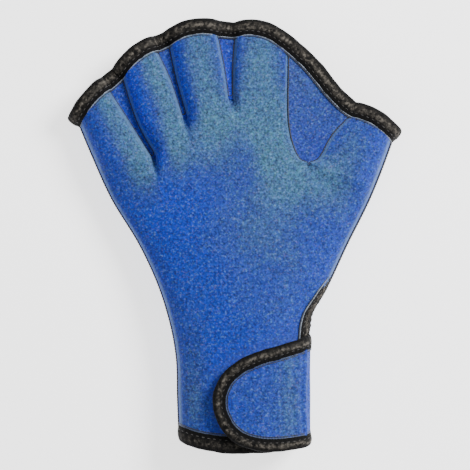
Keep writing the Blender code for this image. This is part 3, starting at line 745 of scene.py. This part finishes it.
def jersey(name, deep, main, light):
    """Knitted nylon face of the neoprene: fine wales, heathered yarns, and painted light: highlights on crowns and
    bulges, shade in the valleys, a shadow beside the tab and a highlight line along the seams.
    """
    s = Shader(name)
    s.place = s.add("TexCoord").outputs["Object"]
    loops = s.math("MULTIPLY", s.wave(900, "X", 0.6, 2.0), s.wave(760, "Y", 0.8, 2.0))
    yarn = s.cells(1000.0)
    grain = s.noise(1000.0, 2.0, 0.6)
    coarse = s.noise(420.0, 2.0, 0.6)
    patch = s.noise(30.0, 3.0, 0.55)
    # The painted light value, with random mottling, runs the colour from the painted shade blue through deep and main
    # to the painted highlight colour
    light_and_tone = s.math("ADD", s.value("painted_light"), s.ramp(patch, 0.35, 0.70, -0.13, 0.13))
    light_and_tone = s.math("ADD", light_and_tone, s.ramp(coarse, 0.3, 0.7, -0.10, 0.10))
    colour = s.mix(s.ramp(light_and_tone, -0.6, 0.0), PAINTED_SHADE_BLUE, deep)
    colour = s.mix(s.ramp(light_and_tone, 0.0, 0.5), colour, main)
    colour = s.mix(s.ramp(light_and_tone, 0.40, 1.10), colour, light)
    tone = s.math("ADD", s.math("MULTIPLY", grain, 0.7), s.math("MULTIPLY", coarse, 0.3))
    pale = s.ramp(s.noise(760.0, 1.0, 0.5), 0.56, 0.70)
    stretched = s.add("Mapping", Scale=(1.0, 1.3, 1.0), Vector=s.place).outputs["Vector"]
    warm = s.ramp(s.noise(820.0, 1.0, 0.5, stretched), 0.58, 0.72)
    colour = s.mix(s.math("MULTIPLY", pale, 0.30), colour, PALE_FLECK)
    colour = s.mix(s.math("MULTIPLY", warm, 0.30), colour, WARM_FLECK)
    colour = s.mix(0.25, colour, s.mix(1.0, colour, yarn, "MULTIPLY"))
    colour = s.add("HueSaturation", Color=colour, Value=s.ramp(tone, 0.34, 0.66, 0.30, 1.75)).outputs["Color"]
    # Painted shadow beside the tab, painted highlight line along the seams, and the dark lining inside
    for key, share, tint in (("painted_tab_shadow", 0.50, TAB_SHADOW_TINT), ("edge", 0.60, EDGE_HIGHLIGHT_TINT), ("inside", 0.85, LINING)):
        colour = s.mix(s.math("MULTIPLY", s.value(key), share), colour, tint)
    normal = s.bump(grain, 0.00018, 0.7, Normal=s.bump(loops, 0.00012, 0.8))
    return s.finish(Base_Color=colour, Roughness=s.ramp(grain, 0.2, 0.8, 0.78, 0.95), Normal=normal, Sheen_Weight=0.25,
                    Sheen_Roughness=0.45, Sheen_Tint=(0.55, 0.72, 1.0), Specular_IOR_Level=0.25)


def tape_cloth(name, dark, light):
    """Napped black binding tape: cross ribs, lint and a painted brownish highlight along the middle of its fold."""
    s = Shader(name)
    ribs = s.wave(820, "X", 0.8, 2.0)
    nap = s.noise(1200.0, 3.0, 0.7)
    lint = s.ramp(s.noise(520.0, 3.0, 0.65), 0.48, 0.70)
    patch = s.noise(380.0, 3.0, 0.65)
    # The light colour and the lint are painted highlight, laid along the middle of the fold
    crest_highlight = s.math("MULTIPLY", s.value("crest_highlight"), s.ramp(patch, 0.40, 0.60))
    colour = s.mix(s.math("MULTIPLY", crest_highlight, 0.80), dark, light)
    colour = s.mix(s.math("MULTIPLY", s.math("MULTIPLY", lint, s.value("crest_highlight")), 0.75), colour, LINT_HIGHLIGHT)
    normal = s.bump(s.math("ADD", s.math("MULTIPLY", ribs, 0.5), nap), 0.00022, 0.9)
    return s.finish(Base_Color=colour, Roughness=s.ramp(nap, 0.3, 0.7, 0.65, 0.9), Normal=normal, Sheen_Weight=0.03,
                    Sheen_Roughness=0.35, Sheen_Tint=(0.85, 0.80, 0.76), Specular_IOR_Level=0.12)


def thread(name, colour, light):
    """Twisted sewing thread or yarn in two tones."""
    s = Shader(name)
    twist = s.wave(2600, "DIAGONAL", 0.3)
    tone = s.mix(s.ramp(s.noise(700.0), 0.35, 0.65), colour, light)
    return s.finish(Base_Color=tone, Roughness=0.55, Normal=s.bump(twist, 0.0001, 0.8), Sheen_Weight=0.2,
                    Sheen_Roughness=0.4, Sheen_Tint=(1, 1, 1), Specular_IOR_Level=0.4)


materials = {name: kind(name, *colours) for name, kind, *colours in (
    ("blue_jersey", jersey, (0.0024, 0.025, 0.31), (0.0155, 0.044, 0.213), (0.037, 0.112, 0.203)),
    ("web_jersey", jersey, (0.008, 0.026, 0.27), (0.017, 0.042, 0.215), (0.026, 0.062, 0.20)),
    ("binding_tape", tape_cloth, (0.0012, 0.0012, 0.0014), (0.040, 0.036, 0.031)),
    ("binding_thread", thread, (0.012, 0.012, 0.013), (0.05, 0.045, 0.04)),
    ("border_yarn", thread, (0.10, 0.12, 0.16), (0.20, 0.23, 0.28)),
    ("faint_yarn", thread, (0.018, 0.030, 0.070), (0.045, 0.065, 0.12)),
    ("seam_yarn", thread, (0.006, 0.008, 0.016), (0.014, 0.020, 0.040)),
    ("hook_fastener", thread, (0.010, 0.010, 0.011), (0.03, 0.03, 0.032)),
)}


def rim_z(grid):
    """The height of the seams at each point, blended across each finger and into the hand."""
    rims = np.zeros(grid.shape[:2])
    for f in range(len(FINGERS)):
        part = columns_of(f)
        y = grid[:, part, 1]
        left, right = sewn_z(f, y)
        mixed = left + (right - left) * (TICKS + 1) / 2
        valley = np.clip(1 - (grid[HAND_ROWS, part, 1] - y) / valley_fade()[part], 0, 1) ** 2
        rims[:, part] = seam_z(y) + (mixed - seam_z(y)) * valley
    return rims


def make_panel(name, palm, node):
    """One panel's cloth, which never reaches past its seams' height, so that the panels stay apart."""
    cells = panel_cells()
    grid, seams = panel_grid(palm)
    normals = grid_normals(grid, cells) * (1 if palm else -1)
    outer, inner = grid.copy(), grid - unit(softened(normals, 3)) * WALL
    limit = rim_z(grid) + (SEAM_GAP if palm else -SEAM_GAP)
    for part in (outer, inner):
        part[..., 2] = (np.maximum if palm else np.minimum)(part[..., 2], limit)
    # A painted highlight line just inside the sewn edges
    near = np.exp(-((seams - 0.0011) / 0.0006) ** 2)
    x, y = grid[..., 0], grid[..., 1]
    # Painted light on the palm: highlight spots and crown highlights less the painted valley shade; the back gets one
    # even value
    light = np.clip(painted_light(x, y) + crown_light(grid), 0, 1) - 0.9 * painted_valley_shade(x, y) if palm else 0.35 + 0 * seams
    values = {"painted_light": light, "edge": near, "painted_tab_shadow": beside_tab(x, y) if palm else 0 * seams}
    piece = thick_sheet(name, outer, inner, cells, "blue_jersey", values)
    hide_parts(node)
    flat_size(outer)


def web_route(web):
    """The line sewn round a web: down its left edge, round the crotch and up its right edge."""
    t = np.linspace(1, 0, 60)
    down, up = web_line(web, 0, t), web_line(web, 1, t[::-1])
    top = WEB_WALL / 2
    if web != WIDE:
        route = np.vstack([down, up[1:]])
        heights = web_z(web, route[:, 1]) + top
    else:
        between = np.linspace(0.1, 0.9, 8)[:, None]
        foot = down[-1] + (up[0] - down[-1]) * between - (0, 0.0012) * np.sin(np.pi * between)
        route = np.vstack([down, foot, up])
        from_foot = route[:, 1] - route[:, 1].min()
        heights = web_z(web, route[:, 1]) + top - 0.0002 - FOOT_SINK * np.clip(1 - from_foot / 0.03, 0, 1) ** 2
    return smoothed(np.column_stack([route, heights]), 3)


def make_web(web, node):
    """A web's cloth, tucked a little under both seams, with the yarn sewn round it."""
    wide = web == WIDE
    start, tuck, across, sag = (0.0, 0.01, 26, 0.0007) if wide else (-0.04, 0.08, 6, 0.0005)
    t = np.linspace(start, 1.0, TIP_ROWS + 1)[:, None]
    v = np.linspace(-tuck, 1 + tuck, across + 1)
    left, right = web_line(web, 0, t), web_line(web, 1, t)
    flat = left + (right - left) * v[:, None]
    if wide:
        flat[..., 1] += WAVE * np.sin(2 * np.pi * v) * t**6
    z = web_z(web, flat[..., 1]) - sag * (4 * v * (1 - v)) * np.sin(np.pi * np.clip(t, 0, 1))
    z -= FOOT_SINK * (1 - t) ** 2 if wide else 0
    top = np.concatenate([flat, (z + WEB_WALL / 2)[..., None]], axis=2)
    # Painted shade: each web darker towards its crotch, the narrow ones darker still, where they lie deep between the
    # fingers
    shade = (0.10 if wide else -0.35) + 0.45 * t + 0 * v
    piece = thick_sheet(node + "_cloth", top, top - (0, 0, WEB_WALL), np.ones((TIP_ROWS, across), bool),
                        "web_jersey", {"painted_light": shade, "edge": 0 * shade})
    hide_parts(node)
    yarn = make_cord(node + "_seam", web_route(web), WIDE_YARN if wide else NARROW_YARN, "seam_yarn", web)
    flat_size(top)[1]


def binding_low(palm, web, y, thickness):
    """How low the palm's binding goes, or how high the back's, at a web or a side seam (None)."""
    if web is None:
        return seam_z(y) + (0.0003 if palm else -0.0003)
    return web_z(web, y) - (0 if palm else thickness - SEAM_GAP)


def finger_edge(palm, thickness):
    """The open edge's line in the middle of the cloth, round the finger ends and over the webs."""
    points = []
    w = -np.cos(np.pi * np.arange(41) / 40)
    for f in range(len(FINGERS)):
        xy = finger_plan(f, w, 1.0)
        y = xy[:, 1]
        face = finger_z(f, w, y, palm)
        centre = face - WALL / 2 if palm else face + WALL / 2 + 0.0006
        left, right = (binding_low(palm, web, y, thickness)
                       for web in (f - 1 if f > LITTLE else None, f if f < THUMB else None))
        low = left + (right - left) * (w + 1) / 2
        points += np.column_stack([xy, (np.maximum if palm else np.minimum)(low, centre)]).tolist()
        if f < THUMB:
            left, right = web_line(f, 0, 1.0), web_line(f, 1, 1.0)
            for share in np.linspace(0, 1, 12 if f == WIDE else 4)[1:-1]:
                x, y = left + (right - left) * share
                y += WAVE * math.sin(2 * math.pi * share) if f == WIDE else 0
                points.append((x, y, binding_low(palm, f, y, thickness)))
    return np.array(points)


def make_finger_tape(palm):
    """The bound edge of one panel over all fingers and webs."""
    thickness = WALL + 2 * PROUD
    bases = smoothed(resampled(finger_edge(palm, thickness), 0.001)[0], 4)
    along = unit(np.gradient(bases, axis=0))
    flat = unit(smoothed(along * (1, 1, 0), 10))
    outward = unit(np.stack([-flat[:, 1], flat[:, 0], 0 * flat[:, 0]], axis=1))
    normals = unit(np.cross(smoothed(along, 6), outward)) * (1 if palm else -1)
    side = "palm" if palm else "back"
    make_tape("finger_tape_" + side, "finger_binding_" + side, bases, outward, normals,
              FINGER_BINDING, thickness, 1 + palm)


def contour(y, angle, palm=True):
    """A point and normal on the hand's section: angle 0 at the thumb's side, pi at the other."""
    exponent = CROWN_EXPONENT if palm else BASE_EXPONENT
    depth = total_height(y) - seam_z(y) if palm else seam_z(y)
    c, s = math.cos(angle), math.sin(angle)
    share = math.copysign(abs(c) ** (2 / exponent), c)
    rise = max(s, 0.0) ** (2 / exponent)
    x = middle_x(y) + half_width(y) * share
    nx = math.copysign(abs(share) ** (exponent - 1) / half_width(y), share)
    nz = rise ** (exponent - 1) / depth
    z = seam_z(y) + depth * rise if palm else max(rest_z(y), seam_z(y) * (1 - BASE_PRESS * rise))
    return np.array([x, y, z]), unit(np.array([nx, 0, nz if palm else -nz]))


def angle_at(share):
    """The angle of contour() at a share of the half width on the palm's side."""
    return math.acos(math.copysign(abs(share) ** (CROWN_EXPONENT / 2), share))


def in_cloth(places):
    """The middle of the cloth under points of its face, and the normals there."""
    points, normals = (np.array(part) for part in zip(*places))
    return points - normals * WALL / 2, normals


def make_cuff_tape():
    """The wrist opening's bound edge, from the slit over the palm's side and back under the hand."""
    first = angle_at(1 - SLIT_SETBACK / half_width(0))
    turns = [(True, first + (math.pi - first) * k / 60) for k in range(61)]
    turns += [(False, math.pi * (1 - k / 60)) for k in range(1, 61)]
    bases, normals = in_cloth(contour(cuff_y(math.cos(angle)), angle, palm) for palm, angle in turns)
    normals = unit(smoothed(normals, 4))
    reaches = np.tile((0, -1, 0), (len(bases), 1))
    # The cuff's painted highlight is half as strong, as the cuff lies in shade
    make_tape("cuff_tape", "cuff_binding", bases, reaches, normals, CUFF_BINDING,
              WALL + 2 * PROUD, 5, shine=0.5, border="faint_yarn")


def tab_point(y, angle):
    """A point and normal of the tab's upper face, lifted by the fastener under it."""
    point, normal = contour(y, angle)
    return point + normal * TAB_LIFT * ease(angle / TAB_LIFTED_BY), normal


def tab_rows(count):
    """The tab from the thumb's side to its end: angle, lower edge, upper edge."""
    last = angle_at(1 - TAB_REACH / half_width(TAB_MIDDLE))
    rows = []
    for k in range(count + 1):
        angle = last * (k / count) ** 0.9
        upper, lower = tab_edges((side_x(TAB_MIDDLE, 2) - contour(TAB_MIDDLE, angle)[0][0]) / TAB_REACH)
        rows.append((angle, lower, upper))
    return rows


def make_tab():
    """The closing tab's cloth, with soft creases where it bends over the wrist's side."""
    faces = []
    for angle, lower, upper in tab_rows(56):
        fading, ridge = math.exp(-((angle - 0.75) / 0.35) ** 2), 0.0003 * math.exp(-((angle - 0.62) / 0.05) ** 2)
        line = [(*tab_point(y, angle), 0.00034 * math.sin(angle * 34 + 0.9 * math.sin(y * 160)) * fading + ridge)
                for y in np.linspace(lower, upper, 49)]
        faces.append([[point + normal * crease for point, normal, crease in line],
                      [point - normal * WALL for point, normal, _ in line]])
    outer, inner = np.array(faces).swapaxes(0, 1)
    # Painted highlight: a lighter band about 11 mm in from the tab's thumb-side end, where its curve catches the light
    light = 0.18 + 0.30 * np.exp(-((outer[..., 0] - outer[..., 0].max() + 0.011) / 0.007) ** 2)
    piece = thick_sheet("tab_cloth", outer, inner, np.ones((56, 48), bool), "blue_jersey",
                        {"painted_light": light, "edge": 0 * light})
    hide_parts("wrist_tab")
    flat_size(outer)


def make_tab_tape():
    """The tab's bound edge: along below, round the end and back above."""
    rows = tab_rows(56)
    path = [(angle, lower) for angle, lower, upper in rows]
    last, lower, upper = rows[-1]
    path += [(last, lower + (upper - lower) * k / 10) for k in range(1, 10)]
    path += [(angle, upper) for angle, lower, upper in reversed(rows)]
    rows = resampled(np.hstack(in_cloth(tab_point(y, angle) for angle, y in path)), 0.001)[0]
    bases, normals = smoothed(rows[:, :3], 3), unit(rows[:, 3:])
    along = unit(smoothed(unit(np.gradient(bases, axis=0)), 6))
    outward = unit(np.cross(normals, along))
    make_tape("tab_tape", "tab_binding", bases, outward, normals, TAB_BINDING, WALL + 2 * PROUD, 9,
              border="faint_yarn")


def make_hook():
    """The fastener patch on the palm, hidden by the tab."""
    low, high = (corner - SHIFT for corner in np.array(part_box("hook_patch")))
    faces = []
    for x in np.linspace(high[0], low[0], 25):
        angle = angle_at((x - middle_x(TAB_MIDDLE)) / half_width(TAB_MIDDLE))
        line = [contour(y, angle) for y in np.linspace(low[1], high[1], 21)]
        faces.append([[point + normal * height for point, normal in line] for height in (HOOK_HIGH, HOOK_LOW)])
    outer, inner = np.array(faces).swapaxes(0, 1)
    piece = thick_sheet("hook_strip", outer, inner, np.ones((24, 20), bool), "hook_fastener")
    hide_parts("hook_patch")
    flat_size(outer)


def make_slit_tapes():
    """The slit's bound edges. The palm's runs on over the seam and thins to nothing."""
    palm, back = [], []
    for y in np.linspace(SLIT_BAND[0, 0], SLIT_BAND[-1, 0], 46):
        inset = np.interp(y, SLIT_BAND[:, 0], SLIT_BAND[:, 1])
        point, normal = contour(y, angle_at(1 - inset / half_width(y)))
        down = np.array([side_x(y, 2) - 0.0002, y, seam_z(y) + 0.0004]) - point
        reach = unit(down - normal * (down @ normal) * 0.8)
        up = unit(np.cross(reach, (0, 1, 0)))
        width = min(np.linalg.norm(down) * 0.94, 0.0066)
        body = 0.35 + 0.65 * ease((SLIT_BAND[-1, 0] - y) / SLIT_FADE)
        palm.append((*(point - normal * (WALL / 2 - 0.0001)), *reach, *up, width, body))
    for y in np.linspace(TAB_TOP + TAB_BINDING + 0.0008, SLIT_TOP - 0.001, 20):
        width = max(min(SLIT_BINDING, 0.8 * setback(y)), 0.0014)
        back.append((side_x(y, 2) - WALL / 2, y, seam_z(y) - 0.0008, 0, 0, 1, 1, 0, 0, width, 0.8))
    for side, rows, border in (("palm", palm, "border_yarn"), ("back", back, "faint_yarn")):
        rows = np.array(rows)
        make_tape("slit_tape_" + side, "slit_binding_" + side, rows[:, :3], rows[:, 3:6],
                  rows[:, 6:9], rows[:, 9], WALL + PROUD, 13, 0.001, rows[:, 10], border=border)


def make_side_seam(name, column, low, high, out):
    """The dark yarn that joins the two panels along one side."""
    y = np.linspace(low, high, 160)
    path = np.stack([side_x(y, column) + out, y, seam_z(y)], axis=1)
    piece = make_cord(name + "_yarn", path, SIDE_YARN, "seam_yarn", column)
    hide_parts(name)


# Pieces
make_panel("palm_cloth", True, "palm_panel")
make_panel("back_cloth", False, "back_panel")
for web, node in enumerate(("web_little_ring", "web_ring_middle", "web_middle_index", "web_index_thumb")):
    make_web(web, node)
make_finger_tape(True)
make_finger_tape(False)
make_cuff_tape()
make_tab()
make_tab_tape()
make_hook()
make_slit_tapes()
make_side_seam("seam_little", 1, CUFF_BINDING + CUFF_RISE, FINGERS[LITTLE][1] * LENGTH, -0.0001)
make_side_seam("seam_thumb", 2, SLIT_TOP, FINGERS[THUMB][3] * LENGTH, 0.0004)

# Stage: pale floor, soft studio light from the upper right, camera straight above
floor = bpy.data.materials.new("pale_floor")
floor.use_nodes = True
for key, value in (("Base Color", (0.86, 0.86, 0.87, 1)), ("Roughness", 0.7), ("Emission Color", (1, 1, 1, 1)),
                   ("Emission Strength", 1.7)):
    floor.node_tree.nodes["Principled BSDF"].inputs[key].default_value = value
mesh = bpy.data.meshes.new("studio_floor")
mesh.from_pydata([(-3, -3, 0), (3, -3, 0), (3, 3, 0), (-3, 3, 0)], [], [(0, 1, 2, 3)])
mesh.materials.append(floor)
stage = add_object("studio_floor", mesh)
stage.location.z = cad_low[2] - 0.0002


def area_light(name, place, size, power):
    """A round soft light that points at the glove."""
    data = bpy.data.lights.new(name, "AREA")
    data.shape = "DISK"
    data.size, data.energy = size, power
    light = add_object(name, data)
    light.location = place
    light.rotation_euler = (-Vector(place)).to_track_quat("-Z", "Y").to_euler()


area_light("key", (0.95, 0.65, 0.95), 0.6, 44)
area_light("fill", (-0.9, -0.5, 1.4), 1.4, 6)

world = bpy.data.worlds.new("studio")
world.use_nodes = True
sky = world.node_tree.nodes["Background"].inputs
sky["Color"].default_value, sky["Strength"].default_value = (1, 1, 1, 1), 0.55
bpy.context.scene.world = world

# A long lens that takes in 0.250 m at a height of 0.014 m
lens, sensor = 140, 36
camera_data = bpy.data.cameras.new("camera")
camera_data.lens, camera_data.sensor_width = lens, sensor
camera = add_object("camera", camera_data)
camera.location = (0, 0, 0.014 + 0.250 * lens / sensor)
bpy.context.scene.camera = camera
